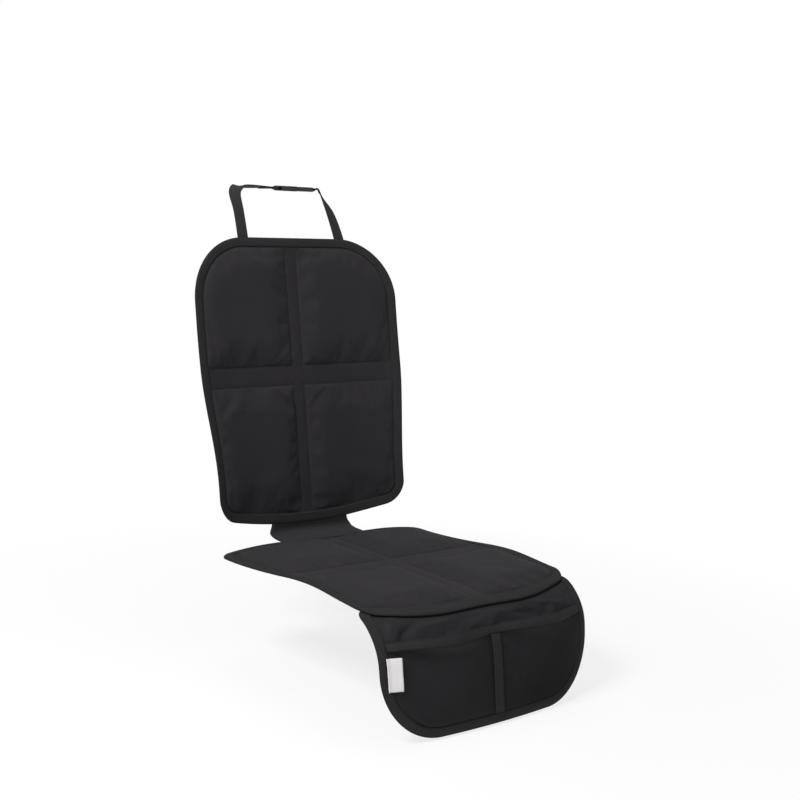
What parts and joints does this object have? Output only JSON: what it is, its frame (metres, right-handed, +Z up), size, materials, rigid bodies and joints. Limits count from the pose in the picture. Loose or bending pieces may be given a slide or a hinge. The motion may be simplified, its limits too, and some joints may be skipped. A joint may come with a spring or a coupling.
{
  "type": "car seat protector mat",
  "caption": "Quilted cloth mat that covers a car seat's back and cushion under a child seat, with a front flap of net pockets and a buckled headrest loop.",
  "frame": {"origin": "middle of the seat panel's flat underside, where it lies on a level car seat cushion", "axes": "+Z up, away from the seat cushion; +Y towards the seat back; +X across the mat to the right, as seen from the front"},
  "size_m": [0.4811, 0.7484, 0.8791],
  "materials": {
    "mat_cloth": "black woven polyester, matt",
    "binding_tape": "black woven tape, matt",
    "pocket_net": "black knitted net",
    "strap_webbing": "black woven webbing",
    "buckle_plastic": "black moulded plastic, low sheen",
    "blank_label": "white woven label, left blank"
  },
  "bodies": {
    "root": {"back_pad": "mat_cloth", "back_binding": "binding_tape", "waist_strip": "mat_cloth", "seat_pad": "mat_cloth", "seat_binding": "binding_tape", "front_flap": "mat_cloth", "flap_binding": "binding_tape", "pocket_net": "pocket_net", "pocket_hem": "binding_tape", "pocket_divider": "binding_tape", "blank_label": "blank_label", "strap_left": "strap_webbing", "strap_right": "strap_webbing", "buckle_socket": "buckle_plastic", "buckle_plug": "buckle_plastic"}
  },
  "joints": []
}
